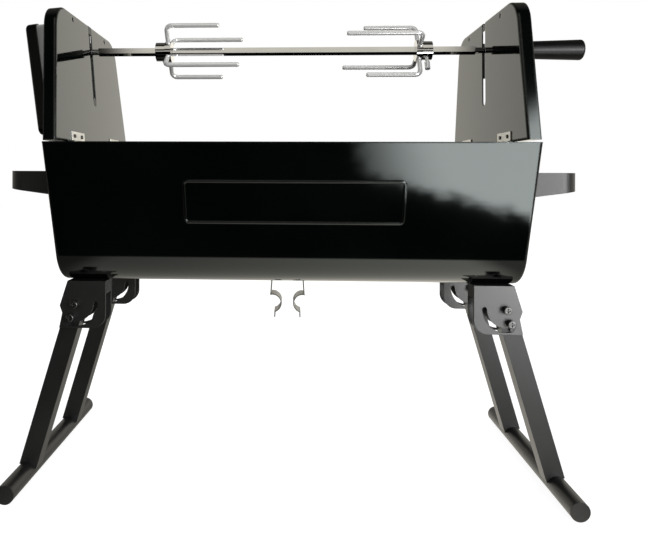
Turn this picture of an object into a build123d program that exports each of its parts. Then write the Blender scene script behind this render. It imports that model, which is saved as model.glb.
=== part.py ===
"""Portable charcoal spit roaster: an enamelled trough on folding legs, with two folding end panels that
carry a motor-driven spit. Millimetres, +Z up, front towards -Y, origin on the floor under the trough."""

import os
from math import cos, radians, sin, tan

from build123d import *

# Trough: pressed sheet with leaning long walls, a rounded bottom and an inward rim return
trough_length = 555.0
trough_depth = 300.0
trough_height = 168.0
ground_clearance = 248.0
wall_lean = 18.0
bottom_radius = 48.0
sheet = 1.5
rim_return = 17.0
corner_bend = 4.0

# Charcoal grate on two folded rails
grate_length = 480.0
grate_height = 40.0
grate_sheet = 2.0
grate_side_gap = 12.3
grate_rail_inset = 5.5
grate_margin = 18.0
grate_slot_width = 9.0
grate_slot_pitch = 22.0

# End panels: pressed pans with flanges folded outwards. They lean a little in their hinges, outwards if positive
panel_height = 164.5
panel_gap = 2.5
panel_inset = 2.5
panel_flange = 15.0
panel_taper = 11.4
panel_corner = 34.0
panel_bend = 2.5
slot_width = 12.4
slot_start = 54.0
panel_hole = 5.6
panel_hole_spread = 130.0
panel_hole_drop = 8.0
left_panel_lean = 4.5
right_panel_lean = -0.5

# Butt hinges between the panels and the rim
hinge_length = 45.0
hinge_spread = 156.0
hinge_leaf = 1.2
hinge_leaf_height = 13.0
hinge_leaf_width = 11.0
hinge_pin = 2.4
knuckle_radius = 2.2
knuckle_middle = 18.0
knuckle_gap = 0.3
leaf_screw = 4.6
leaf_screw_height = 1.0
leaf_screw_spread = 25.0

# Spit: a square bar with round journals, turned a little about its own axis
spit_height = 130.0
spit_square = 8.0
spit_turn = 20.0
journal_length = 12.5
drive_length = 11.0
tang_length = 75.0
grip_length = 101.0
grip_gap = 7.5
grip_small = 21.5
grip_large = 27.0
grip_round = 3.0

# Forks: a collar with a disc and four bent wire tines, each with its own place and turn on the bar
left_fork_reach = 179.0
right_fork_reach = 190.0
left_fork_turn = 57.0
right_fork_turn = -5.0
collar_length = 13.0
collar_diameter = 25.0
disc_diameter = 28.0
disc_thickness = 8.0
tine_wire = 6.0
tine_circle = 76.0
tine_bend = 7.0
tine_tip = 2.4
long_tine = 98.0
short_tine = 71.0
tine_seat = 4.0
thumb_screw = 5.0
thumb_head = 7.0
thumb_head_length = 10.0
thumb_stand = 5.0
left_thumb_turn = 90.0
right_thumb_turn = 0.0

# Motor unit on the outside of the left panel. Its box is tilted a little more than the panel
hanger_sheet = 2.0
hanger_width = 60.0
hanger_top = 14.0
hanger_tab = 11.4
hanger_tab_height = 10.7
socket_diameter = 16.0
boss_diameter = 28.0
housing_width = 76.0
housing_height = 143.0
housing_head = 35.0
housing_gap = 5.7
housing_tilt = 3.0
housing_depth = 36.0
housing_wall = 2.5
housing_round = 6.0
cover_thickness = 15.0
cover_margin = 2.0
cover_wall = 4.0
cover_round = 9.0
cover_edge = 4.5
gearbox_width = 48.0
gearbox_height = 44.0
gearbox_depth = 16.0
motor_can = 27.0
motor_can_length = 12.0
cell_diameter = 33.0
cell_length = 61.0
cell_terminal = 9.5
cell_terminal_height = 1.5
drive_shaft = 6.0
drive_shaft_length = 8.0
switch_width = 13.0
switch_height = 20.0
switch_stand = 3.0
switch_dish = 1.0
switch_depth = 5.0
switch_drop = 34.0
switch_tilt = 6.0
switch_gap = 0.7
cover_screw = 7.0
cover_screw_height = 2.0
cover_screw_inset = 14.0

# Spit rest on the outside of the right panel
rest_sheet = 3.0
rest_width = 34.0
rest_height = 46.0
rest_lip = 10.0
rest_round = 5.0
rest_rivet = 6.0
rest_rivet_height = 2.0

# Carry handles: bent flat strap screwed to the end walls
handle_reach = 68.0
handle_width = 180.0
handle_strap = 3.0
handle_height = 21.5
handle_root_height = 30.5
handle_bend = 22.0
handle_foot = 26.0
handle_drop = 33.0
handle_screw = 9.0
handle_screw_height = 3.0

# Folding legs
leg_inset = 17.2
leg_spread = 143.0
leg_width = 22.0
leg_depth = 20.0
leg_wall = 1.5
leg_splay = 16.5
leg_weld_overlap = 6.0
fold_angle = 106.5
pivot_drop = 28.0
foot_diameter = 22.0
foot_length = 280.0
foot_wall = 1.5
cap_thickness = 2.0
cap_plug = 12.0

# Leg brackets: a sheet clevis with an arc slot for the leg's guide pin
bracket_sheet = 2.5
bracket_inner = 37.5
bracket_top_outer = 10.0
bracket_lobe = 19.6
bracket_notch = 16.4
bracket_foot_outer = 20.2
bracket_lobe_drop = 2.5
bracket_notch_drop = 11.5
bracket_drop = 30.0
bracket_corner = 17.0
bracket_flange = 22.0
guide_radius = 25.0
guide_pin = 5.0
guide_stand = 0.8
lock_radius = 17.0
pivot_pin = 8.0
screw_head = 9.8
screw_head_height = 4.0
screw_head_round = 1.2
screw_shank = 5.0
bush_diameter = 9.6
bush_length = 4.0
nut_diameter = 13.0
nut_height = 5.0
recess_length = 5.4
recess_width = 1.3
recess_depth = 1.6
bolt_head = 10.0
bolt_head_height = 4.0
bolt_spread = 26.0

# Spring clip under the trough
clip_sheet = 1.5
clip_width = 28.0
clip_half = 21.0
clip_elbow = 23.0
clip_waist = 9.0
clip_throat = 17.3
clip_mouth = 17.5
clip_elbow_drop = 28.0
clip_waist_drop = 38.0
clip_throat_drop = 49.0
clip_drop = 57.0
clip_rivet = 8.0
clip_rivet_height = 2.5

# Clearances
running_fit = 0.08
sliding_fit = 0.2
moving_gap = 0.3
leg_gap = 0.5

# Places worked out from the sizes above
half_length = trough_length / 2
half_depth = trough_depth / 2
rim_z = ground_clearance + trough_height
lean = tan(radians(wall_lean))
bottom_half = half_depth - trough_height * lean
bottom_flat = bottom_half - bottom_radius * tan(radians(45 - wall_lean / 2))
spit_z = rim_z + spit_height
hinge_x = half_length - panel_inset - panel_flange - knuckle_radius
hinge_z = rim_z + knuckle_radius
panel_foot = panel_gap - knuckle_radius
panel_head = panel_foot + panel_height
slot_foot = panel_foot + slot_start
panel_lean = {-1: left_panel_lean, 1: right_panel_lean}
pivot_x = half_length - leg_inset
pivot_z = ground_clearance - pivot_drop
foot_z = foot_diameter / 2
leg_length = (pivot_z - foot_z) / cos(radians(leg_splay))
clevis_gap = leg_depth + 2 * leg_gap
clevis_depth = clevis_gap + 2 * bracket_sheet
hands = ((-1, "left"), (1, "right"))
ends = ((-1, "front"), (1, "rear"))

os.makedirs("parts", exist_ok=True)


def keep(builder, node):
    """Names a finished piece and writes it to its own file."""
    builder.part.label = node
    export_step(builder.part, f"parts/{node}.step")


def end_plane(side, x):
    """A plane square to X that looks outwards on either end, with local y up."""
    return Plane(origin=(side * x, 0, 0), x_dir=(0, side, 0), z_dir=(side, 0, 0))


def panel_plane(side, out, rise=0.0, tilt=0.0):
    """A plane parallel to an end panel, moved outwards and up along the panel from its hinge, then tilted."""
    slope = radians(panel_lean[side])
    reach = knuckle_radius + out
    x = hinge_x + reach * cos(slope) + rise * sin(slope)
    z = hinge_z - reach * sin(slope) + rise * cos(slope)
    facing = slope + radians(tilt)
    return Plane(origin=(side * x, 0, z), x_dir=(0, side, 0), z_dir=(side * cos(facing), 0, -sin(facing)))


def hinge_plane(side, y):
    """The plane of a panel hinge, centred on its pin, with local x outwards and local y up along the panel."""
    slope = radians(panel_lean[side])
    across = (side * cos(slope), 0, -sin(slope))
    return Plane(origin=(side * hinge_x, y, hinge_z), x_dir=across, z_dir=(0, -side, 0))


def at_spit(side, out):
    """Where a plane parallel to an end panel crosses the spit's axis: distance along X, and height on the panel."""
    slope = radians(panel_lean[side])
    above = spit_z - hinge_z
    from_hinge = (knuckle_radius + out + above * sin(slope)) / cos(slope)
    return hinge_x + from_hinge, from_hinge * sin(slope) + above * cos(slope)


def motor_plane(out, rise, tilt=0.0):
    """A plane parallel to the motor housing's back, moved outwards and up from the spit's axis, then tilted."""
    slope = radians(left_panel_lean + housing_tilt)
    x = at_spit(-1, panel_flange + housing_gap)[0] + out * cos(slope) + rise * sin(slope)
    z = spit_z - out * sin(slope) + rise * cos(slope)
    facing = slope + radians(tilt)
    return Plane(origin=(-x, 0, z), x_dir=(0, -1, 0), z_dir=(-cos(facing), 0, -sin(facing)))


def spit_plane(x, towards):
    """A plane square to the spit, whose local axes follow the faces of the square bar."""
    turn = radians(spit_turn)
    across = (0, -towards * sin(turn), -towards * cos(turn))
    return Plane(origin=(x, 0, spit_z), x_dir=across, z_dir=(towards, 0, 0))


def pivot_plane(side, y):
    """The plane of a leg bracket, centred on the leg's pivot, with local x outwards and local y up."""
    return Plane(origin=(side * pivot_x, y, pivot_z), x_dir=(side, 0, 0), z_dir=(0, -side, 0))


def leg_plane(side, y):
    """As pivot_plane, but with local y along the splayed leg."""
    splay = radians(leg_splay)
    across = (side * cos(splay), 0, sin(splay))
    return Plane(origin=(side * pivot_x, y, pivot_z), x_dir=across, z_dir=(0, -side, 0))


def front_plane(x, y, z):
    """A plane that looks to the front at a given point."""
    return Plane(origin=(x, y, z), x_dir=(1, 0, 0), z_dir=(0, -1, 0))


def on_leg(side, distance):
    """X and Z of a point on the leg's centre line, at a distance from the pivot."""
    splay = radians(leg_splay)
    return side * (pivot_x + distance * sin(splay)), pivot_z - distance * cos(splay)


# Trough
with BuildPart() as trough:
    with BuildSketch(Plane.YZ.offset(-half_length)):
        with BuildLine():
            Polyline(
                (-half_depth, rim_z),
                (-bottom_half, ground_clearance),
                (bottom_half, ground_clearance),
                (half_depth, rim_z),
                close=True,
            )
        section = make_face()
        fillet(section.vertices().group_by(Axis.Y)[0], bottom_radius)
    extrude(amount=trough_length)
    end_faces = trough.faces().filter_by(GeomType.PLANE).sort_by(Axis.X)
    end_edges = end_faces[0].edges() + end_faces[-1].edges()
    fillet(end_edges.filter_by_position(Axis.Z, ground_clearance, rim_z - sheet), corner_bend)
    offset(amount=-sheet, openings=trough.faces().sort_by(Axis.Z)[-1])
    with BuildSketch(Plane.XY.offset(rim_z)):
        Rectangle(trough_length - sheet, trough_depth - 2 * sheet)
        Rectangle(
            trough_length - 2 * rim_return,
            trough_depth - 2 * rim_return,
            mode=Mode.SUBTRACT,
        )
    extrude(amount=-sheet)
keep(trough, "trough")

# Charcoal grate: a slotted plate folded down along both long sides
grate_z = ground_clearance + sheet + grate_height
wall_half = bottom_half + (sheet + grate_height) * lean - sheet / cos(radians(wall_lean))
grate_width = 2 * (wall_half - grate_side_gap)
grate_rail_spread = 2 * (bottom_flat - grate_rail_inset)
grate_slot_length = (grate_width - grate_slot_pitch) / 2 - grate_margin
with BuildPart() as grate:
    with BuildSketch(Plane.XY.offset(grate_z)):
        RectangleRounded(grate_length, grate_width, bottom_radius / 4)
        slot_count = int((grate_length - grate_slot_pitch) / grate_slot_pitch)
        with GridLocations(grate_slot_pitch, grate_slot_length + grate_slot_pitch, slot_count, 2):
            SlotOverall(grate_slot_length, grate_slot_width, rotation=90, mode=Mode.SUBTRACT)
    extrude(amount=-grate_sheet)
    with BuildSketch(Plane.XY.offset(grate_z - grate_sheet)):
        with GridLocations(0, grate_rail_spread, 1, 2):
            Rectangle(grate_length - 2 * grate_slot_pitch, grate_sheet)
        Rectangle(grate_length - 2 * grate_slot_pitch, grate_sheet)
    extrude(amount=-(grate_height - grate_sheet))
keep(grate, "charcoal_grate")

# End panels
panel_top_half = half_depth - panel_height * tan(radians(panel_taper))
for side, hand in hands:
    outwards = Axis((0, 0, 0), panel_plane(side, 0).z_dir)
    with BuildPart() as end_panel:
        with BuildSketch(panel_plane(side, 0)):
            with BuildLine():
                Polyline(
                    (-half_depth, panel_foot),
                    (half_depth, panel_foot),
                    (panel_top_half, panel_head),
                    (-panel_top_half, panel_head),
                    close=True,
                )
            outline = make_face()
            fillet(outline.vertices().group_by(Axis.Y)[-1], panel_corner)
        extrude(amount=panel_flange)
        fillet(end_panel.faces().sort_by(outwards)[0].edges(), panel_bend)
        offset(amount=-sheet, openings=end_panel.faces().sort_by(outwards)[-1])
        with BuildSketch(panel_plane(side, 0)):
            with Locations((0, slot_foot + slot_width / 2)):
                Circle(slot_width / 2)
                Rectangle(slot_width, panel_height, align=(Align.CENTER, Align.MIN))
            with Locations((0, panel_head - panel_hole_drop)):
                with GridLocations(panel_hole_spread, 0, 2, 1):
                    Circle(panel_hole / 2)
        extrude(amount=panel_flange, mode=Mode.SUBTRACT)
    keep(end_panel, f"{hand}_end_panel")

# Panel hinges: the upper leaf on the panel's inner face, the lower leaf on the rim
knuckle_end = (hinge_length - knuckle_middle) / 2 - knuckle_gap
knuckle_end_y = (hinge_length - knuckle_end) / 2
for side, hand in hands:
    with BuildPart() as upper_leaves:
        for centre in (-hinge_spread / 2, hinge_spread / 2):
            with BuildSketch(hinge_plane(side, centre)):
                with Locations((knuckle_radius, 0)):
                    Rectangle(hinge_leaf, hinge_leaf_height, align=(Align.MAX, Align.MIN))
                Circle(knuckle_radius)
            extrude(amount=hinge_length / 2, both=True)
            with BuildSketch(hinge_plane(side, centre)):
                Circle(knuckle_radius + knuckle_gap)
            extrude(amount=knuckle_middle / 2 + knuckle_gap, both=True, mode=Mode.SUBTRACT)
            with BuildSketch(hinge_plane(side, centre)):
                Circle(hinge_pin / 2)
            extrude(amount=hinge_length / 2, both=True, mode=Mode.SUBTRACT)
    keep(upper_leaves, f"{hand}_upper_hinge_leaves")

    with BuildPart() as lower_leaves:
        for centre in (-hinge_spread / 2, hinge_spread / 2):
            with BuildSketch(Plane.XY.offset(rim_z)):
                with Locations((side * hinge_x, centre)):
                    Rectangle(
                        hinge_leaf_width,
                        hinge_length,
                        align=(Align.MIN if side > 0 else Align.MAX, Align.CENTER),
                    )
            extrude(amount=hinge_leaf)
            with BuildSketch(Plane.XZ.offset(-centre)):
                with Locations((side * hinge_x, hinge_z)):
                    Circle(knuckle_radius + knuckle_gap)
            extrude(amount=hinge_length / 2, both=True, mode=Mode.SUBTRACT)
            with BuildSketch(Plane.XZ.offset(-centre)):
                with Locations((side * hinge_x, hinge_z)):
                    Circle(knuckle_radius)
                with Locations((side * hinge_x, rim_z)):
                    Rectangle(
                        2 * knuckle_radius,
                        hinge_leaf,
                        align=(Align.MIN if side > 0 else Align.MAX, Align.MIN),
                    )
            extrude(amount=knuckle_middle / 2, both=True)
            with BuildSketch(Plane.XZ.offset(-centre)):
                with Locations((side * hinge_x, hinge_z)):
                    Circle(hinge_pin / 2 + running_fit)
            extrude(amount=hinge_length / 2, both=True, mode=Mode.SUBTRACT)
    keep(lower_leaves, f"{hand}_lower_hinge_leaves")

    with BuildPart() as hinge_pins:
        for centre in (-hinge_spread / 2, hinge_spread / 2):
            with BuildSketch(hinge_plane(side, centre)):
                Circle(hinge_pin / 2)
            extrude(amount=hinge_length / 2, both=True)
    keep(hinge_pins, f"{hand}_hinge_pins")

    with BuildPart() as leaf_screws:
        with BuildSketch(panel_plane(side, -hinge_leaf)):
            with Locations((0, knuckle_radius + hinge_leaf_height / 2 - hinge_leaf)):
                with GridLocations(hinge_spread, 0, 2, 1):
                    with GridLocations(leaf_screw_spread, 0, 2, 1):
                        Circle(leaf_screw / 2)
        extrude(amount=-leaf_screw_height)
    keep(leaf_screws, f"{hand}_leaf_screws")

# Carry handles and their screws
handle_x = half_length + handle_reach
handle_z = rim_z - handle_drop
for side, hand in hands:
    with BuildPart() as handle:
        with BuildSketch(Plane.XY.offset(handle_z)):
            with BuildLine():
                near = side * half_length
                far = side * handle_x
                FilletPolyline(
                    (near, handle_width / 2 - handle_foot),
                    (near, handle_width / 2),
                    (far, handle_width / 2),
                    (far, -handle_width / 2),
                    (near, -handle_width / 2),
                    (near, -handle_width / 2 + handle_foot),
                    radius=(handle_strap, handle_bend, handle_bend, handle_strap),
                )
                offset(amount=handle_strap, side=Side.RIGHT if side > 0 else Side.LEFT)
            make_face()
        extrude(amount=-handle_root_height)
        with BuildSketch(Plane.XZ):
            with BuildLine():
                low = handle_z - handle_root_height
                Polyline(
                    (near, low),
                    (far, handle_z - handle_height),
                    (far + side * handle_strap, low),
                    close=True,
                )
            make_face()
        extrude(amount=handle_width, both=True, mode=Mode.SUBTRACT)
    keep(handle, f"{hand}_handle")

with BuildPart() as handle_screws:
    for side, hand in hands:
        with BuildSketch(end_plane(side, half_length + handle_strap)):
            with Locations((0, handle_z - handle_root_height / 2)):
                with GridLocations(handle_width - handle_foot, 0, 2, 1):
                    Circle(handle_screw / 2)
        extrude(amount=handle_screw_height)
    fillet(handle_screws.faces().filter_by(Axis.X).group_by(Axis.X)[0].edges(), screw_head_round)
    fillet(handle_screws.faces().filter_by(Axis.X).group_by(Axis.X)[-1].edges(), screw_head_round)
keep(handle_screws, "handle_screws")

# Leg brackets
bracket_top = pivot_drop
bracket_web = bracket_top - leg_width / 2 - 2 * leg_gap
slot_half = guide_pin / 2 + moving_gap
for side, hand in hands:
    for end, place in ends:
        leg_y = end * leg_spread / 2
        with BuildPart() as bracket:
            with BuildSketch(pivot_plane(side, leg_y)):
                with BuildLine():
                    Polyline(
                        (-bracket_inner, bracket_top),
                        (bracket_top_outer, bracket_top),
                        (bracket_lobe, -bracket_lobe_drop),
                        (bracket_notch, -bracket_notch_drop),
                        (bracket_foot_outer, -bracket_drop),
                        (-bracket_inner, -bracket_drop),
                        close=True,
                    )
                plate = make_face()
                corners = plate.vertices()
                fillet(corners.sort_by_distance((-bracket_inner, -bracket_drop))[0], bracket_corner)
                fillet(
                    plate.vertices().sort_by_distance((bracket_lobe, -bracket_lobe_drop))[0],
                    bracket_lobe - bracket_notch,
                )
            extrude(amount=clevis_depth / 2, both=True)
            with BuildSketch(pivot_plane(side, leg_y)):
                with Locations((0, bracket_top - bracket_sheet)):
                    Rectangle(
                        4 * bracket_inner,
                        2 * bracket_inner,
                        align=(Align.CENTER, Align.MAX),
                    )
                with Locations((-bracket_inner, bracket_top)):
                    Rectangle(
                        bracket_sheet,
                        bracket_web,
                        align=(Align.MIN, Align.MAX),
                        mode=Mode.SUBTRACT,
                    )
            extrude(amount=clevis_gap / 2, both=True, mode=Mode.SUBTRACT)
            flange_x = (bracket_top_outer - bracket_inner) / 2
            flange_y = leg_y - end * clevis_depth / 2
            with BuildSketch(Plane.XY.offset(ground_clearance)):
                with Locations((side * (pivot_x + flange_x), flange_y)):
                    Rectangle(
                        bracket_inner + bracket_top_outer,
                        bracket_flange,
                        align=(Align.CENTER, Align.MAX if end > 0 else Align.MIN),
                    )
            extrude(amount=-bracket_sheet)
            with BuildSketch(pivot_plane(side, leg_y)):
                Circle(pivot_pin / 2)
                with BuildLine(mode=Mode.PRIVATE) as guide_path:
                    CenterArc((0, 0), guide_radius, -180, fold_angle)
                SlotArc(guide_path.edge(), 2 * slot_half)
            extrude(amount=clevis_depth, both=True, mode=Mode.SUBTRACT)
            lock_x, lock_z = on_leg(side, lock_radius)
            with BuildSketch(front_plane(lock_x, leg_y - clevis_depth / 2, lock_z)):
                Circle(screw_shank / 2)
            extrude(amount=-bracket_sheet, mode=Mode.SUBTRACT)
        keep(bracket, f"{place}_{hand}_bracket")

with BuildPart() as bracket_bolts:
    for side, hand in hands:
        for end, place in ends:
            bolt_y = end * (leg_spread / 2 - clevis_depth / 2 - bracket_flange / 2)
            with BuildSketch(Plane.XY.offset(ground_clearance - bracket_sheet)):
                with Locations((side * (pivot_x + flange_x), bolt_y)):
                    with GridLocations(bolt_spread, 0, 2, 1):
                        RegularPolygon(bolt_head / 2, 6)
            extrude(amount=-bolt_head_height)
keep(bracket_bolts, "bracket_bolts")

# Pivot and lock screws with their bushes and nuts
with BuildPart() as pivot_bushes:
    for side, hand in hands:
        for end, place in ends:
            face_y = end * leg_spread / 2 - clevis_depth / 2
            for distance, shank in ((0, pivot_pin), (lock_radius, screw_shank)):
                screw_x, screw_z = on_leg(side, distance)
                with BuildSketch(front_plane(screw_x, face_y, screw_z)):
                    Circle(bush_diameter / 2)
                    Circle(shank / 2, mode=Mode.SUBTRACT)
                extrude(amount=bush_length)
keep(pivot_bushes, "screw_bushes")

for node, distance, shank, reach in (
    ("pivot_screws", 0, pivot_pin, clevis_depth + nut_height),
    ("lock_screws", lock_radius, screw_shank, bracket_sheet),
):
    with BuildPart() as screws:
        for side, hand in hands:
            for end, place in ends:
                face_y = end * leg_spread / 2 - clevis_depth / 2
                screw_x, screw_z = on_leg(side, distance)
                with BuildSketch(front_plane(screw_x, face_y - bush_length, screw_z)):
                    Circle(screw_head / 2)
                extrude(amount=screw_head_height)
                head_top = front_plane(screw_x, face_y - bush_length - screw_head_height, screw_z)
                fillet(screws.faces().sort_by_distance(head_top.origin)[0].edges(), screw_head_round)
                with BuildSketch(head_top):
                    Rectangle(recess_length, recess_width)
                    Rectangle(recess_width, recess_length)
                extrude(amount=-recess_depth, mode=Mode.SUBTRACT)
                with BuildSketch(front_plane(screw_x, face_y - bush_length, screw_z)):
                    Circle(shank / 2)
                extrude(amount=-(bush_length + reach))
    keep(screws, node)

with BuildPart() as pivot_nuts:
    for side, hand in hands:
        for end, place in ends:
            nut_y = end * leg_spread / 2 + clevis_depth / 2
            with BuildSketch(front_plane(side * pivot_x, nut_y, pivot_z)):
                RegularPolygon(nut_diameter / 2, 6)
                Circle(pivot_pin / 2, mode=Mode.SUBTRACT)
            extrude(amount=-nut_height)
keep(pivot_nuts, "pivot_nuts")

# Leg frames: two bars saddled on a foot tube with plugged ends
for side, hand in hands:
    with BuildPart() as leg_bars:
        for end, place in ends:
            leg_y = end * leg_spread / 2
            with BuildSketch(leg_plane(side, leg_y)):
                Circle(leg_width / 2)
                Rectangle(leg_width, leg_length - leg_weld_overlap, align=(Align.CENTER, Align.MAX))
                Circle(pivot_pin / 2 + running_fit, mode=Mode.SUBTRACT)
                with Locations((0, -guide_radius)):
                    Circle(guide_pin / 2, mode=Mode.SUBTRACT)
                with Locations((0, -leg_length)):
                    Circle(foot_diameter / 2, mode=Mode.SUBTRACT)
            extrude(amount=leg_depth / 2, both=True)
            hollow_top = guide_radius + guide_pin
            with BuildSketch(leg_plane(side, leg_y)):
                with Locations((0, -hollow_top)):
                    Rectangle(
                        leg_width - 2 * leg_wall,
                        leg_length - hollow_top,
                        align=(Align.CENTER, Align.MAX),
                    )
            extrude(amount=leg_depth / 2 - leg_wall, both=True, mode=Mode.SUBTRACT)
    keep(leg_bars, f"{hand}_leg_bars")

    with BuildPart() as guide_pins:
        for end, place in ends:
            with BuildSketch(leg_plane(side, end * leg_spread / 2)):
                with Locations((0, -guide_radius)):
                    Circle(guide_pin / 2)
            extrude(amount=clevis_depth / 2 + guide_stand, both=True)
    keep(guide_pins, f"{hand}_guide_pins")

    foot_x, foot_height = on_leg(side, leg_length)
    tube_length = foot_length - 2 * cap_thickness
    with BuildPart() as foot_tube:
        with BuildSketch(front_plane(foot_x, 0, foot_height)):
            Circle(foot_diameter / 2)
            Circle(foot_diameter / 2 - foot_wall, mode=Mode.SUBTRACT)
        extrude(amount=tube_length / 2, both=True)
    keep(foot_tube, f"{hand}_foot_tube")

    with BuildPart() as foot_caps:
        for end, place in ends:
            with BuildSketch(front_plane(foot_x, end * tube_length / 2, foot_height)):
                Circle(foot_diameter / 2)
            extrude(amount=-end * cap_thickness)
            with BuildSketch(front_plane(foot_x, end * tube_length / 2, foot_height)):
                Circle(foot_diameter / 2 - foot_wall)
            extrude(amount=end * cap_plug)
    keep(foot_caps, f"{hand}_foot_caps")

# Spring clip: a strap bent into two prongs that bulge towards each other
with BuildPart() as spring_clip:
    with BuildSketch(Plane.XZ):
        with BuildLine():
            elbow = (clip_elbow, ground_clearance - clip_elbow_drop)
            throat = (clip_throat, ground_clearance - clip_throat_drop)
            FilletPolyline((0, ground_clearance), (clip_half, ground_clearance), elbow, radius=clip_sheet)
            ThreePointArc(elbow, (clip_waist, ground_clearance - clip_waist_drop), throat)
            Line(throat, (clip_mouth, ground_clearance - clip_drop))
            offset(amount=clip_sheet, side=Side.RIGHT)
        make_face()
        mirror(about=Plane.YZ)
    extrude(amount=clip_width / 2, both=True)
keep(spring_clip, "spring_clip")

with BuildPart() as clip_rivets:
    with BuildSketch(Plane.XY.offset(ground_clearance - clip_sheet)):
        with GridLocations(clip_half, 0, 2, 1):
            Circle(clip_rivet / 2)
    extrude(amount=-clip_rivet_height)
    fillet(clip_rivets.faces().group_by(Axis.Z)[0].edges(), screw_head_round)
keep(clip_rivets, "clip_rivets")

# Spit rod
left_face_x = at_spit(-1, 0)[0]
right_face_x = at_spit(1, 0)[0]
journal_end = at_spit(-1, 2 * sheet)[0]
square_left = left_face_x - journal_length + sheet
square_right = right_face_x - journal_length + sheet
grip_start = half_length + grip_gap
tang_end = grip_start + tang_length
with BuildPart() as spit_rod:
    with BuildSketch(spit_plane(-square_left, 1)):
        Rectangle(spit_square, spit_square)
    extrude(amount=square_left + square_right)
    with BuildSketch(spit_plane(-journal_end, 1)):
        Circle(spit_square / 2)
    extrude(amount=journal_end + tang_end)
    with BuildSketch(spit_plane(-journal_end, -1)):
        Rectangle(spit_square, spit_square)
    extrude(amount=drive_length)
keep(spit_rod, "spit_rod")

# Spit grip: a tapered moulding over the rod's round tang
with BuildPart() as spit_grip:
    with BuildSketch(front_plane(grip_start, 0, spit_z)):
        with BuildLine():
            Polyline(
                (0, 0),
                (0, grip_small / 2),
                (grip_length, grip_large / 2),
                (grip_length, 0),
                close=True,
            )
        half_grip = make_face()
        fillet(half_grip.vertices().group_by(Axis.Y)[1:], grip_round)
    revolve(axis=Axis((0, 0, spit_z), (1, 0, 0)))
    with BuildSketch(spit_plane(grip_start, 1)):
        Circle(spit_square / 2)
    extrude(amount=tang_length, mode=Mode.SUBTRACT)
keep(spit_grip, "spit_grip")

# Forks: the screw goes through the collar and the tines sit in radial holes in the disc
fork_reach = {-1: left_fork_reach, 1: right_fork_reach}
fork_turn = {-1: left_fork_turn, 1: right_fork_turn}
thumb_turn = {-1: left_thumb_turn, 1: right_thumb_turn}
tine_start = disc_diameter / 2 - tine_seat
for side, hand in hands:
    collar_x = side * fork_reach[side]
    disc_x = side * (fork_reach[side] - collar_length)
    hub_plane = spit_plane(side * (fork_reach[side] - collar_length / 2), -side)
    tine_plane = spit_plane(disc_x - side * disc_thickness / 2, -side)
    down = (hub_plane.x_dir * side * -1).rotate(Axis.X, thumb_turn[side])
    arms = [tine_plane.x_dir.rotate(Axis.X, fork_turn[side] + 90 * quarter) for quarter in range(4)]
    with BuildPart() as fork_hub:
        with BuildSketch(spit_plane(collar_x, -side)):
            Circle(collar_diameter / 2)
        extrude(amount=collar_length)
        with BuildSketch(spit_plane(disc_x, -side)):
            Circle(disc_diameter / 2)
        extrude(amount=disc_thickness)
        with BuildSketch(spit_plane(collar_x, -side)):
            Rectangle(spit_square + 2 * sliding_fit, spit_square + 2 * sliding_fit)
        extrude(amount=collar_length + disc_thickness, mode=Mode.SUBTRACT)
        with BuildSketch(Plane(origin=hub_plane.origin, z_dir=down)):
            Circle(thumb_screw / 2 + running_fit)
        extrude(amount=collar_diameter, mode=Mode.SUBTRACT)
        for arm in arms:
            with BuildSketch(Plane(origin=tine_plane.origin + arm * tine_start, z_dir=arm)):
                Circle(tine_wire / 2)
            extrude(amount=disc_diameter, mode=Mode.SUBTRACT)
    keep(fork_hub, f"{hand}_fork_hub")

    with BuildPart() as fork_tines:
        for arm, reach in zip(arms, (short_tine, long_tine, short_tine, long_tine)):
            start = tine_plane.origin + arm * tine_start
            corner = tine_plane.origin + arm * (tine_circle / 2)
            with BuildLine() as wire:
                FilletPolyline(start, corner, corner + tine_plane.z_dir * reach, radius=tine_bend)
            with BuildSketch(Plane(origin=start, z_dir=arm)):
                Circle(tine_wire / 2)
            sweep(path=wire.wire())
        fillet(fork_tines.faces().filter_by(GeomType.PLANE).filter_by(Axis.X).edges(), tine_tip)
    keep(fork_tines, f"{hand}_fork_tines")

    screw_tip = spit_square / 2 + sliding_fit + moving_gap
    head_start = collar_diameter / 2 + thumb_stand
    with BuildPart() as fork_screw:
        with BuildSketch(Plane(origin=hub_plane.origin + down * screw_tip, z_dir=down)):
            Circle(thumb_screw / 2)
        extrude(amount=head_start - screw_tip)
        with BuildSketch(Plane(origin=hub_plane.origin + down * head_start, z_dir=down)):
            Circle(thumb_head / 2)
        extrude(amount=thumb_head_length)
    keep(fork_screw, f"{hand}_fork_screw")

# Motor hanger: a plate behind the left panel, with a lug and a tab that fit the panel's slot
hanger_out = sheet + moving_gap
hanger_back = hanger_out + hanger_sheet
spit_rise = at_spit(-1, hanger_out)[1]
hanger_head = panel_head - hanger_sheet / 2
with BuildPart() as motor_hanger:
    with BuildSketch(panel_plane(-1, hanger_out)):
        with Locations((0, slot_foot)):
            Rectangle(hanger_width, spit_rise + hanger_top - slot_foot, align=(Align.CENTER, Align.MIN))
        fillet(vertices(), housing_round)
        with Locations((0, hanger_head)):
            Rectangle(hanger_tab, hanger_head - spit_rise, align=(Align.CENTER, Align.MAX))
    extrude(amount=hanger_sheet)
    with BuildSketch(panel_plane(-1, hanger_out)):
        with Locations((0, slot_foot + slot_width / 2)):
            Circle(slot_width / 2 - moving_gap)
        with Locations((0, hanger_head)):
            Rectangle(hanger_tab, hanger_tab_height, align=(Align.CENTER, Align.MAX))
    extrude(amount=-hanger_out)
    with BuildSketch(spit_plane(-left_face_x, -1)):
        Circle(socket_diameter / 2 + moving_gap)
    extrude(amount=panel_flange, mode=Mode.SUBTRACT)
keep(motor_hanger, "motor_hanger")

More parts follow.
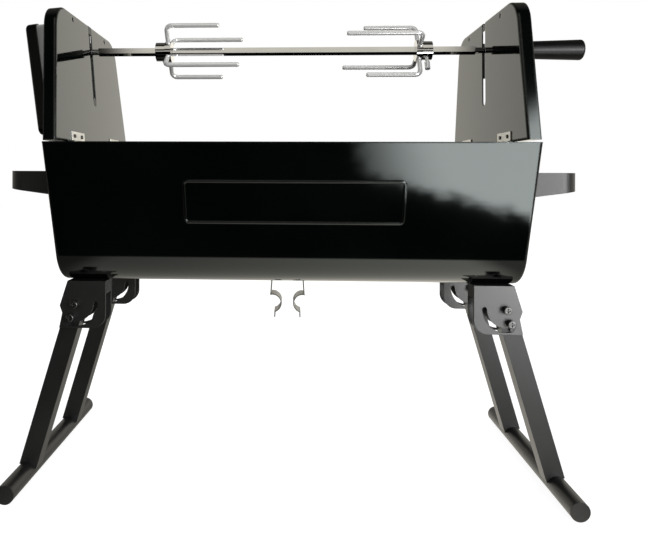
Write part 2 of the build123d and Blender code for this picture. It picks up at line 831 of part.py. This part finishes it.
# Motor housing: a box that is open towards the cover, with a boss round the drive socket
housing_out = panel_flange + housing_gap
housing_middle = housing_head - housing_height / 2
motor_lean = radians(left_panel_lean + housing_tilt)
wall_x = at_spit(-1, housing_out)[0] + housing_wall / cos(motor_lean)
leaning_out = Axis((0, 0, 0), motor_plane(0, 0).z_dir)
with BuildPart() as motor_housing:
    with BuildSketch(motor_plane(0, housing_middle)):
        RectangleRounded(housing_width, housing_height, housing_round)
    extrude(amount=housing_depth)
    offset(amount=-housing_wall, openings=motor_housing.faces().sort_by(leaning_out)[-1])
    with BuildSketch(panel_plane(-1, hanger_back, at_spit(-1, hanger_back)[1])):
        Circle(boss_diameter / 2)
    extrude(amount=housing_out + housing_wall / 2 - hanger_back)
    with BuildSketch(spit_plane(-left_face_x, -1)):
        Circle(socket_diameter / 2 + running_fit)
    extrude(amount=housing_out + housing_depth, mode=Mode.SUBTRACT)
keep(motor_housing, "motor_housing")

# Motor cover: a rounded shell over the batteries, with the opening for the switch
cover_height = housing_height + 2 * cover_margin
cover_width = housing_width + 2 * cover_margin
switch_rise = housing_middle + cover_height / 2 - switch_drop
with BuildPart() as motor_cover:
    with BuildSketch(motor_plane(housing_depth, housing_middle)):
        RectangleRounded(cover_width, cover_height, cover_round)
    extrude(amount=cover_thickness)
    fillet(motor_cover.faces().sort_by(leaning_out)[-1].edges(), cover_edge)
    with BuildSketch(motor_plane(housing_depth, housing_middle)):
        RectangleRounded(
            cover_width - 2 * cover_wall,
            cover_height - 2 * cover_wall,
            cover_round - cover_wall,
        )
    extrude(amount=cover_thickness - cover_wall, mode=Mode.SUBTRACT)
    with BuildSketch(motor_plane(housing_depth, switch_rise)):
        Rectangle(switch_width + 2 * switch_gap, switch_height + 2 * switch_gap)
    extrude(amount=2 * cover_thickness, mode=Mode.SUBTRACT)
keep(motor_cover, "motor_cover")

with BuildPart() as cover_screws:
    with BuildSketch(motor_plane(housing_depth + cover_thickness, housing_middle)):
        with GridLocations(cover_width - 2 * cover_screw_inset, cover_height - 2 * cover_screw_inset, 2, 2):
            Circle(cover_screw / 2)
    extrude(amount=cover_screw_height)
keep(cover_screws, "cover_screws")

# Power switch: a rocker with a dished face, lying in its off position
with BuildPart() as power_switch:
    rocker = motor_plane(housing_depth + cover_thickness, switch_rise, switch_tilt)
    with BuildSketch(Plane(origin=rocker.origin, x_dir=rocker.z_dir, z_dir=(0, -1, 0))):
        with BuildLine():
            Polyline(
                (-switch_depth, -switch_height / 2),
                (switch_stand, -switch_height / 2),
                (switch_stand - switch_dish, 0),
                (switch_stand, switch_height / 2),
                (-switch_depth, switch_height / 2),
                close=True,
            )
        make_face()
    extrude(amount=switch_width / 2, both=True)
keep(power_switch, "power_switch")

# Gear motor, drive socket and battery cells
socket_end = wall_x - socket_diameter / 2 * tan(motor_lean) - moving_gap
with BuildPart() as gear_motor:
    with BuildSketch(motor_plane(housing_wall, 0)):
        RectangleRounded(gearbox_width, gearbox_height, housing_round)
    extrude(amount=gearbox_depth)
    with BuildSketch(motor_plane(housing_wall + gearbox_depth, 0)):
        Circle(motor_can / 2)
    extrude(amount=motor_can_length)
    with BuildSketch(spit_plane(-socket_end, -1)):
        Circle(drive_shaft / 2 + running_fit)
    extrude(amount=drive_shaft_length + moving_gap, mode=Mode.SUBTRACT)
keep(gear_motor, "gear_motor")

with BuildPart() as drive_socket:
    with BuildSketch(spit_plane(-journal_end, -1)):
        Circle(socket_diameter / 2)
    extrude(amount=socket_end - journal_end)
    with BuildSketch(spit_plane(-journal_end, -1)):
        Rectangle(spit_square + 2 * sliding_fit, spit_square + 2 * sliding_fit)
    extrude(amount=drive_length + sliding_fit, mode=Mode.SUBTRACT)
    with BuildSketch(spit_plane(-socket_end, -1)):
        Circle(drive_shaft / 2)
    extrude(amount=drive_shaft_length)
keep(drive_socket, "drive_socket")

cell_out = housing_wall + moving_gap + cell_diameter / 2
cell_foot = housing_head - housing_height + housing_wall + moving_gap
with BuildPart() as battery_cells:
    for cell_rise, diameter, length in (
        (cell_foot, cell_diameter, cell_length),
        (cell_foot + cell_length, cell_terminal, cell_terminal_height),
    ):
        seat = motor_plane(cell_out, cell_rise)
        with BuildSketch(Plane(origin=seat.origin, x_dir=seat.x_dir, z_dir=seat.y_dir)):
            with GridLocations(cell_diameter + moving_gap, 0, 2, 1):
                Circle(diameter / 2)
        extrude(amount=length)
keep(battery_cells, "battery_cells")

# Spit rest: a notched plate behind the right panel that carries the spit's journal
rest_head = at_spit(1, sheet)[1] + rest_lip
with BuildPart() as spit_rest:
    with BuildSketch(panel_plane(1, sheet, rest_head)):
        Rectangle(rest_width, rest_height, align=(Align.CENTER, Align.MAX))
        fillet(vertices(), rest_round)
    extrude(amount=rest_sheet)
    with BuildSketch(end_plane(1, right_face_x)):
        with Locations((0, spit_z)):
            Circle(spit_square / 2 + running_fit)
            Rectangle(spit_square + 2 * running_fit, rest_height, align=(Align.CENTER, Align.MIN))
    extrude(amount=panel_flange, mode=Mode.SUBTRACT)
keep(spit_rest, "spit_rest")

with BuildPart() as rest_rivets:
    with BuildSketch(panel_plane(1, sheet + rest_sheet, rest_head - rest_height + rest_rivet)):
        with GridLocations(rest_width - 2 * rest_rivet, 0, 2, 1):
            Circle(rest_rivet / 2)
    extrude(amount=rest_rivet_height)
keep(rest_rivets, "rest_rivets")
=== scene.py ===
import math

import bpy
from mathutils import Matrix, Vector


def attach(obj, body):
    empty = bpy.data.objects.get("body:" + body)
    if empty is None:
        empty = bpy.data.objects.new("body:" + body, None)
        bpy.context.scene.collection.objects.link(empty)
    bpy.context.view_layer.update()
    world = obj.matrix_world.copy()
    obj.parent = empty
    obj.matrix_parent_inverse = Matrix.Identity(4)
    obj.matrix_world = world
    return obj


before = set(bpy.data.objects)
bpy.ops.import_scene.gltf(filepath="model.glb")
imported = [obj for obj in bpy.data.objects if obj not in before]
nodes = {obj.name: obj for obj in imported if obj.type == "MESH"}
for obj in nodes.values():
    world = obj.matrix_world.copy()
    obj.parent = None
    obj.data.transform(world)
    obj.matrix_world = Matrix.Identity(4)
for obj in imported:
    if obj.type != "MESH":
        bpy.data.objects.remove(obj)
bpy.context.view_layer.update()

# Trough: the firebox, pressed from thin steel sheet and bent into a rounded bottom, with an inward rim.
# It is dipped in gloss black vitreous enamel, which flows a little before it is fired.


class Shade:
    """A socket of a node tree. Arithmetic on it adds Math nodes."""

    def __init__(self, tree, socket=None):
        self.tree = tree
        self.socket = socket

    def node(self, kind, settings=(), output=0, **sockets):
        """Adds a node, sets it up, fills its inputs by name or by number, and gives one of its outputs."""
        made = self.tree.nodes.new(kind)
        for name, value in dict(settings).items():
            setattr(made, name, value)
        for name, value in sockets.items():
            number = name[1:]
            socket = made.inputs[int(number) if number.isdigit() else name.replace("_", " ")]
            if isinstance(value, Shade):
                self.tree.links.new(value.socket, socket)
            else:
                socket.default_value = value
        return Shade(self.tree, made.outputs[output] if made.outputs else None)

    def math(self, operation, first, second):
        return self.node("ShaderNodeMath", {"operation": operation}, s0=first, s1=second)

    def __add__(self, other):
        return self.math("ADD", self, other)

    def __radd__(self, other):
        return self.math("ADD", other, self)

    def __sub__(self, other):
        return self.math("SUBTRACT", self, other)

    def __rsub__(self, other):
        return self.math("SUBTRACT", other, self)

    def __mul__(self, other):
        return self.math("MULTIPLY", self, other)

    def __rmul__(self, other):
        return self.math("MULTIPLY", other, self)

    def most(self, other):
        return self.math("MAXIMUM", self, other)

    def part(self, axis):
        """One part of a vector, by the name of its axis."""
        return self.node("ShaderNodeSeparateXYZ", output=axis, Vector=self)

    def noise(self, scale, detail=2.0, stretch=(1.0, 1.0, 1.0)):
        """Noise over the piece's own metres, from 0 to 1, drawn out along an axis where stretch is small."""
        place = self.node("ShaderNodeTexCoord", output="Object")
        place = self.node("ShaderNodeVectorMath", {"operation": "MULTIPLY"}, s0=place, s1=stretch)
        return self.node("ShaderNodeTexNoise", Vector=place, Scale=scale, Detail=detail)

    def between(self, first, second):
        """A colour that goes from the first to the second over the middle of this value's range."""
        blend = self.node("ShaderNodeValToRGB", Fac=self)
        low, high = blend.socket.node.color_ramp.elements
        low.position, low.color = 0.3, first
        high.position, high.color = 0.7, second
        return blend

    def relief(self, strength, distance):
        """A surface normal with this height on it."""
        return self.node("ShaderNodeBump", Strength=strength, Distance=distance, Height=self)

    def rounded_relief(self, strength, distance, radius):
        """A surface normal with this height on it, and with sharp edges eased to a radius."""
        eased = self.node("ShaderNodeBevel", {"samples": 4}, Radius=radius)
        return self.node("ShaderNodeBump", Strength=strength, Distance=distance, Height=self, Normal=eased)

    def ease(self, start, end, first=0.0, last=1.0):
        """A value that eases from first to last as this one goes from start to end."""
        return self.node(
            "ShaderNodeMapRange",
            {"interpolation_type": "SMOOTHSTEP"},
            Value=self,
            From_Min=start,
            From_Max=end,
            To_Min=first,
            To_Max=last,
        )

    def tint(self, colour):
        """The colour, as bright as this value."""
        return self.node("ShaderNodeVectorMath", {"operation": "SCALE"}, s0=colour, Scale=self)

    def lay(self, colour):
        """This colour with another added to it."""
        return self.node("ShaderNodeVectorMath", {"operation": "ADD"}, s0=self, s1=colour)


def surface(name, **sockets):
    """A new material, its shader with the plain values set, and its node tree to draw on."""
    material = bpy.data.materials.new(name)
    material.use_nodes = True
    shader = material.node_tree.nodes["Principled BSDF"]
    for socket, value in sockets.items():
        shader.inputs[socket.replace("_", " ")].default_value = value
    return material, shader, Shade(material.node_tree)


def feed(shader, **sockets):
    """Links what changes over the surface to the shader."""
    for socket, value in sockets.items():
        value.tree.links.new(value.socket, shader.inputs[socket.replace("_", " ")])


def dress(material, *names):
    """Gives the CAD nodes of these names the material."""
    for name in names:
        nodes[name].data.materials.clear()
        nodes[name].data.materials.append(material)


enamel_edge = 0.0025
enamel, shader, draw = surface("gloss_black_enamel", IOR=1.62, Specular_Tint=(0.93, 1.0, 1.0, 1))
flow = draw.noise(70.0, 2.0, (0.4, 1.0, 1.0)) * 0.6 + draw.noise(11.0, 1.0) * 4.0
wipe = draw.noise(9.0, 4.0)
specks = draw.noise(900.0, 1.0)
feed(
    shader,
    Base_Color=wipe.between((0.0008, 0.0014, 0.0012, 1), (0.0018, 0.0028, 0.0024, 1)),
    Roughness=0.035 + wipe * 0.05,
    Normal=(flow + specks * 0.02).rounded_relief(0.05, 0.0006, enamel_edge),
)
dress(enamel, "trough")

# Pressed frame: a plain raised rectangle that a die has pushed out of the front wall's own sheet.
# It follows the lean of the wall and is enamelled with it.
wall_lean = math.radians(18.0)
rim_front = Vector((0.0, -0.150, 0.416))
wall_down = Vector((0.0, math.sin(wall_lean), -math.cos(wall_lean)))
wall_out = Vector((0.0, -math.cos(wall_lean), -math.sin(wall_lean)))
frame_width, frame_height, frame_corner = 0.250, 0.050, 0.004
frame_drop, frame_shift = 0.0715, 0.007
frame_middle = rim_front + wall_down * frame_drop + Vector((frame_shift, 0.0, 0.0))
ridge = [(-0.0026, -0.0005), (-0.0014, 0.0011), (0.0, 0.0016), (0.0014, 0.0011), (0.0026, -0.0005)]
corner_steps = 6
ring = []
for corner in range(4):
    across = 1 if corner in (0, 3) else -1
    down = 1 if corner < 2 else -1
    centre = (across * (frame_width / 2 - frame_corner), down * (frame_height / 2 - frame_corner))
    for step in range(corner_steps + 1):
        angle = math.pi / 2 * (corner + step / corner_steps)
        ring.append((centre, (math.cos(angle), math.sin(angle))))
points = []
for centre, turn in ring:
    for out, lift in ridge:
        x = centre[0] + turn[0] * (frame_corner + out)
        y = centre[1] + turn[1] * (frame_corner + out)
        points.append(frame_middle + Vector((x, 0, 0)) + wall_down * y + wall_out * lift)
faces = []
count = len(ridge)
for place in range(len(ring)):
    here = place * count
    after = (place + 1) % len(ring) * count
    for line in range(count):
        beside = (line + 1) % count
        faces.append((here + line, here + beside, after + beside, after + line))
pressed_mesh = bpy.data.meshes.new("pressed_frame")
pressed_mesh.from_pydata(points, [], faces)
pressed_mesh.validate()
pressed_mesh.shade_smooth()
pressed_mesh.materials.append(enamel)
pressed_frame = bpy.data.objects.new("pressed_frame", pressed_mesh)
bpy.context.scene.collection.objects.link(pressed_frame)
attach(pressed_frame, "trough")

# Charcoal grate: a slotted steel plate on folded rails, loose in the trough.
# It has a heat resistant black coat that has gone chalky.
fine_edge = 0.0006
grate_coat, shader, draw = surface("heat_resistant_black", IOR=1.45)
chalk = draw.noise(60.0, 5.0)
feed(
    shader,
    Base_Color=chalk.between((0.018, 0.018, 0.018, 1), (0.055, 0.054, 0.052, 1)),
    Roughness=0.55 + chalk * 0.3,
    Normal=draw.noise(1400.0, 2.0).rounded_relief(0.2, 0.0003, fine_edge),
)
dress(grate_coat, "charcoal_grate")

# End panels: pressed pans in the same enamel as the trough, with a slot for the spit and two round holes.
# Their large flat faces mirror the spit and the bright room.
dress(enamel, "left_end_panel", "right_end_panel")

# Panel hinges: small butt hinges of zinc plated sheet, rolled round a pin, with dark screws in the panel.
# Plating of this kind has a soft grain and dulls in patches.
zinc, shader, draw = surface("zinc_plate", Metallic=1.0)
grain = draw.noise(420.0, 3.0, (1.0, 0.25, 1.0))
patch = draw.noise(55.0, 3.0)
feed(
    shader,
    Base_Color=patch.between((0.52, 0.52, 0.50, 1), (0.74, 0.74, 0.72, 1)),
    Roughness=0.22 + grain * 0.2,
    Normal=grain.rounded_relief(0.08, 0.0002, fine_edge),
)
black_oxide, shader, draw = surface("black_oxide", Metallic=0.8)
oiled = draw.noise(350.0, 3.0)
feed(
    shader,
    Base_Color=oiled.between((0.025, 0.025, 0.027, 1), (0.07, 0.07, 0.072, 1)),
    Roughness=0.28 + oiled * 0.22,
)
for side in ("left", "right"):
    dress(zinc, side + "_lower_hinge_leaves", side + "_upper_hinge_leaves", side + "_hinge_pins")
    dress(black_oxide, side + "_leaf_screws")

# Carry handles: flat steel strap bent into a bow and screwed to the end walls.
# They are powder coated in satin black, which leaves a fine even grain.


def skinned(name, tone, skin, colours, gloss, height, **sockets):
    """A coat with a fine skin of this height, whose colour and gloss change slowly over the piece."""
    material, shader, draw = surface(name, **sockets)
    slow = draw.noise(*tone)
    least, spread = gloss
    feed(
        shader,
        Base_Color=slow.between(*colours),
        Roughness=least + slow * spread,
        Normal=draw.noise(*skin).rounded_relief(*height, fine_edge),
    )
    return material


powder_tone, powder_skin, powder_height = (14.0, 5.0), (1500.0, 2.0), (0.16, 0.0002)
powder_coat = skinned(
    "satin_powder_coat",
    powder_tone,
    powder_skin,
    ((0.006, 0.006, 0.006, 1), (0.010, 0.010, 0.010, 1)),
    (0.36, 0.12),
    powder_height,
    IOR=1.5,
)
dress(powder_coat, "left_handle", "right_handle")
dress(black_oxide, "handle_screws")

# Leg brackets: clevises folded from thicker sheet and bolted under the trough, in a glossier powder coat.
# Powder settles badly inside the fold, so the faces across it are rough.
# An arc slot in each bracket takes the guide pin of the leg.
bracket_coat, shader, draw = surface("glossy_powder_coat", IOR=1.75)
rubbed = draw.noise(*powder_tone)
sideways = draw.node("ShaderNodeTexCoord", output="Normal").part("X")
in_fold = (sideways * sideways).ease(0.4, 0.8, 0.0, 0.5)
feed(
    shader,
    Base_Color=rubbed.between((0.003, 0.003, 0.003, 1), (0.006, 0.006, 0.006, 1)),
    Roughness=0.34 + rubbed * 0.12 + in_fold,
    Normal=draw.noise(*powder_skin).rounded_relief(*powder_height, fine_edge),
)
dress(bracket_coat, "front_left_bracket", "rear_left_bracket", "front_right_bracket", "rear_right_bracket")
dress(zinc, "bracket_bolts")
dress(black_oxide, "left_guide_pins", "right_guide_pins")

# Leg frames: two box tubes saddled on a round foot tube and welded, powder coated after welding.
# The foot tube ends in moulded plugs.
dress(powder_coat, "left_leg_bars", "right_leg_bars", "left_foot_tube", "right_foot_tube")
plastic_tone, plastic_skin = (25.0, 3.0), (2200.0, 2.0)
moulded_black = skinned(
    "moulded_black",
    plastic_tone,
    plastic_skin,
    ((0.004, 0.004, 0.004, 1), (0.008, 0.008, 0.008, 1)),
    (0.34, 0.16),
    (0.12, 0.0001),
    IOR=1.46,
)
dress(moulded_black, "left_foot_caps", "right_foot_caps")

# Leg screws: cross head screws in a dark nickel plate on spacer bushes, with zinc nuts on the far side.
# The upper one is the leg's pivot and the lower one locks it.
dark_nickel, shader, draw = surface("dark_nickel_plate", Metallic=1.0)
worn = draw.noise(500.0, 3.0)
feed(
    shader,
    Base_Color=worn.between((0.09, 0.09, 0.09, 1), (0.13, 0.13, 0.128, 1)),
    Roughness=0.24 + worn * 0.16,
    Normal=worn.rounded_relief(0.06, 0.0001, fine_edge),
)
dress(dark_nickel, "pivot_screws", "lock_screws")
dress(zinc, "pivot_nuts")
dress(moulded_black, "screw_bushes")

# Spring clip: grey strip steel bent into two prongs and riveted under the trough, to hold a tool's shaft.
# Its rolled surface has fine lines along the strip.
spring_steel, shader, draw = surface("grey_spring_steel", Metallic=0.3)
rolled = draw.noise(700.0, 2.0, (1.0, 1.0, 0.06))
feed(
    shader,
    Base_Color=rolled.between((0.17, 0.17, 0.15, 1), (0.25, 0.25, 0.225, 1)),
    Roughness=0.22 + rolled * 0.14,
    Normal=rolled.rounded_relief(0.06, 0.0001, fine_edge),
)
dress(spring_steel, "spring_clip")
dress(zinc, "clip_rivets")

# Spit and forks: a square bar with turned journals, and two sliding collars with bent wire tines.
# The bar and the collars are polished and chrome plated, the tines and thumb screws nickel plated.
chrome, shader, draw = surface("polished_chrome", Metallic=1.0)
polish = draw.noise(260.0, 3.0, (0.12, 1.0, 1.0))
feed(
    shader,
    Base_Color=polish.between((0.80, 0.80, 0.80, 1), (0.88, 0.88, 0.88, 1)),
    Roughness=0.04 + polish * 0.07,
    Normal=polish.relief(0.008, 0.0001),
)
dress(chrome, "spit_rod", "left_fork_hub", "right_fork_hub")
satin_nickel, shader, draw = surface("satin_nickel_plate", Metallic=0.4)
brushed = draw.noise(90.0, 2.0, (0.2, 1.0, 1.0))
feed(
    shader,
    Base_Color=brushed.between((0.86, 0.86, 0.855, 1), (0.92, 0.92, 0.915, 1)),
    Roughness=0.08 + brushed * 0.04,
)
dress(satin_nickel, "left_fork_tines", "right_fork_tines", "left_fork_screw", "right_fork_screw")

# Spit grip: a tapered plastic moulding pressed over the round tang of the spit.
# Its skin is as fine as that of the plugs, but harder and darker.
hard_black = skinned(
    "hard_moulded_black",
    plastic_tone,
    plastic_skin,
    ((0.002, 0.002, 0.002, 1), (0.004, 0.004, 0.004, 1)),
    (0.26, 0.12),
    (0.1, 0.0001),
    IOR=1.46,
    Specular_IOR_Level=0.3,
)
dress(hard_black, "spit_grip")

# Motor unit: a battery gear motor in a moulded box that hangs in the slot of the left panel.
# The housing is grey, its cover black, and the cells inside have plain jackets.
moulded_grey = skinned(
    "moulded_grey",
    (18.0, 3.0),
    (2000.0, 2.0),
    ((0.34, 0.34, 0.33, 1), (0.42, 0.42, 0.41, 1)),
    (0.35, 0.15),
    (0.1, 0.0001),
    IOR=1.46,
)
dress(moulded_grey, "motor_housing")
dress(hard_black, "motor_cover", "power_switch")
dress(black_oxide, "cover_screws")
dress(zinc, "gear_motor", "drive_socket")
dress(powder_coat, "motor_hanger")
jacket, shader, draw = surface("cell_jacket", IOR=1.5)
shrink = draw.noise(120.0, 3.0)
feed(
    shader,
    Base_Color=shrink.between((0.15, 0.15, 0.17, 1), (0.24, 0.24, 0.26, 1)),
    Roughness=0.25 + shrink * 0.15,
)
dress(jacket, "battery_cells")

# Spit rest: a notched plate riveted behind the right panel, which carries the free end of the spit.
# It is powder coated, with zinc rivets.
dress(powder_coat, "spit_rest")
dress(zinc, "rest_rivets")

# Studio: a plain white floor, which keeps the shadow of the roaster, in a white room with two soft lamps.
# Mirrors see painted reflections, which the floor and the room show to glossy rays only: white behind the
# roaster, and on the camera's side a dark room with two painted pale cards in it.
# Colours of the painted reflections.
painted_reflection_warm = (1.03, 0.99, 0.88)
painted_card_grey = (0.97, 1.0, 0.98)


def rays(draw):
    """Whether a ray comes straight from the camera or through glass, and whether it comes from a mirror."""
    straight = draw.node("ShaderNodeLightPath", output="Is Camera Ray")
    through = draw.node("ShaderNodeLightPath", output="Is Transmission Ray")
    return straight.most(through), draw.node("ShaderNodeLightPath", output="Is Glossy Ray")


reach = 6.0
floor_corners = [(-reach, -reach, 0), (reach, -reach, 0), (reach, reach, 0), (-reach, reach, 0)]
floor_mesh = bpy.data.meshes.new("floor")
floor_mesh.from_pydata(floor_corners, [], [(0, 1, 2, 3)])
floor = bpy.data.objects.new("floor", floor_mesh)
bpy.context.scene.collection.objects.link(floor)
floor_paint = bpy.data.materials.new("white_floor")
floor_paint.use_nodes = True
floor_paint.node_tree.nodes.clear()
draw = Shade(floor_paint.node_tree)
shown, glossy_ray = rays(draw)
place = draw.node("ShaderNodeNewGeometry", output="Position")
across, depth = place.part("X"), place.part("Y")
whiter_outside = (across * across + depth * depth).ease(0.25, 1.2, 0.92, 1.0)
seen = draw.node("ShaderNodeEmission", Color=shown * whiter_outside, Strength=1.0)
paint = draw.node("ShaderNodeBsdfDiffuse", Color=(0.25, 0.25, 0.25, 1))
lit = draw.node("ShaderNodeAddShader", s0=paint, s1=seen)
# Painted reflection: mirrors alone see the floor as a warm band behind the roaster, brighter to the right,
# and a pale painted card in front on the right.
dim_aside = (across * across).ease(0.09, 0.14, 1.0, 0.25)
reflection_brighter_right = across.ease(-0.4, 0.4, 0.55, 1.6)
painted_floor_behind = depth.ease(-0.40, -0.36, 0.0, 0.9) * reflection_brighter_right * dim_aside
ragged = draw.noise(28.0, 4.0) * 0.09 - 0.045
left_edge = (across + ragged).ease(0.13, 0.19)
near_edge = (depth - across * 0.46 + ragged).ease(-0.715, -0.775)
far_edge = depth.ease(-1.10, -1.0) * across.ease(0.62, 0.75, 1.0, 0.0)
painted_floor_card = across.ease(0.10, 0.36, 0.0, 5.8) * left_edge * near_edge * far_edge
painted_reflection = painted_floor_behind.tint(painted_reflection_warm).lay(painted_floor_card.tint(painted_card_grey))
painted_reflection = draw.node("ShaderNodeEmission", Color=painted_reflection, Strength=1.0)
both = draw.node("ShaderNodeMixShader", s0=glossy_ray, s1=lit, s2=painted_reflection)
draw.node("ShaderNodeOutputMaterial", Surface=both)
floor_mesh.materials.append(floor_paint)

room = bpy.data.worlds.new("white_room")
room.use_nodes = True
room.node_tree.nodes.clear()
draw = Shade(room.node_tree)
shown, glossy_ray = rays(draw)
room_light = 0.5
lit = draw.node("ShaderNodeBackground", Color=shown.most(room_light), Strength=1.0)
way = draw.node("ShaderNodeTexCoord", output="Generated")
right, back, up = way.part("X"), way.part("Y"), way.part("Z")
# Painted reflection: mirrors alone see a warm rear wall, brighter to the right, a band along the horizon and
# two pale painted cards on the camera's side.
reflection_brighter_right = right.ease(-0.8, 0.8, 0.70, 1.18)
painted_rear_reflection = back.ease(-0.25, 0.25, 0.02, 1.0) * reflection_brighter_right * up.ease(0.3, 0.6, 1.0, 0.1)
painted_horizon_band = (up * up).ease(0.004, 0.03, 0.4, 0.0)
painted_high_card = (right * right).ease(0.05, 0.09, 0.6, 0.0) * back.ease(-0.2, -0.4)
painted_high_card = painted_high_card * up.ease(0.35, 0.5) * up.ease(0.84, 0.92, 1.0, 0.0)
painted_side_card = (right + back * 0.33).ease(0.0, 0.05, 0.0, 5.2) * back.ease(-0.65, -0.8)
painted_side_card = painted_side_card * (up - right * 0.6).ease(0.21, 0.26, 1.0, 0.0)
painted_reflection = painted_rear_reflection.most(painted_horizon_band).most(painted_high_card).tint(painted_reflection_warm).lay(painted_side_card.tint(painted_card_grey))
painted_reflection = draw.node("ShaderNodeBackground", Color=painted_reflection, Strength=1.0)
both = draw.node("ShaderNodeMixShader", s0=glossy_ray, s1=lit, s2=painted_reflection)
draw.node("ShaderNodeOutputWorld", Surface=both)
bpy.context.scene.world = room

for name, spot, aim, size, power, in_mirrors in (
    ("lamp_above", (-0.1, 0.25, 1.75), (0.0, 0.0, 0.35), (2.6, 1.8), 11.0, False),
    ("lamp_right", (0.95, -1.15, 0.35), (0.15, -0.1, 0.3), (0.8, 0.5), 15.0, True),
):
    lamp = bpy.data.lights.new(name, "AREA")
    lamp.shape = "RECTANGLE"
    lamp.size, lamp.size_y = size
    lamp.energy = power
    stand = bpy.data.objects.new(name, lamp)
    stand.location = spot
    stand.rotation_mode = "QUATERNION"
    stand.rotation_quaternion = (Vector(aim) - Vector(spot)).to_track_quat("-Z", "Y")
    stand.visible_camera = False
    stand.visible_glossy = in_mirrors
    bpy.context.scene.collection.objects.link(stand)

# Camera: level, a little right of the middle and close, as the photograph was taken.
# The lens shift follows its framing.
lens = bpy.data.cameras.new("camera")
lens.sensor_fit = "HORIZONTAL"
lens.sensor_width = 36.0
lens.lens = 33.78
lens.shift_x = 0.0973
lens.shift_y = -0.1453
camera = bpy.data.objects.new("camera", lens)
camera.location = (0.004, -0.8243, 0.3774)
camera.rotation_euler = (math.radians(90.0), math.radians(-0.25), math.radians(2.70))
bpy.context.scene.collection.objects.link(camera)
bpy.context.scene.camera = camera
bpy.context.scene.view_settings.view_transform = "Standard"
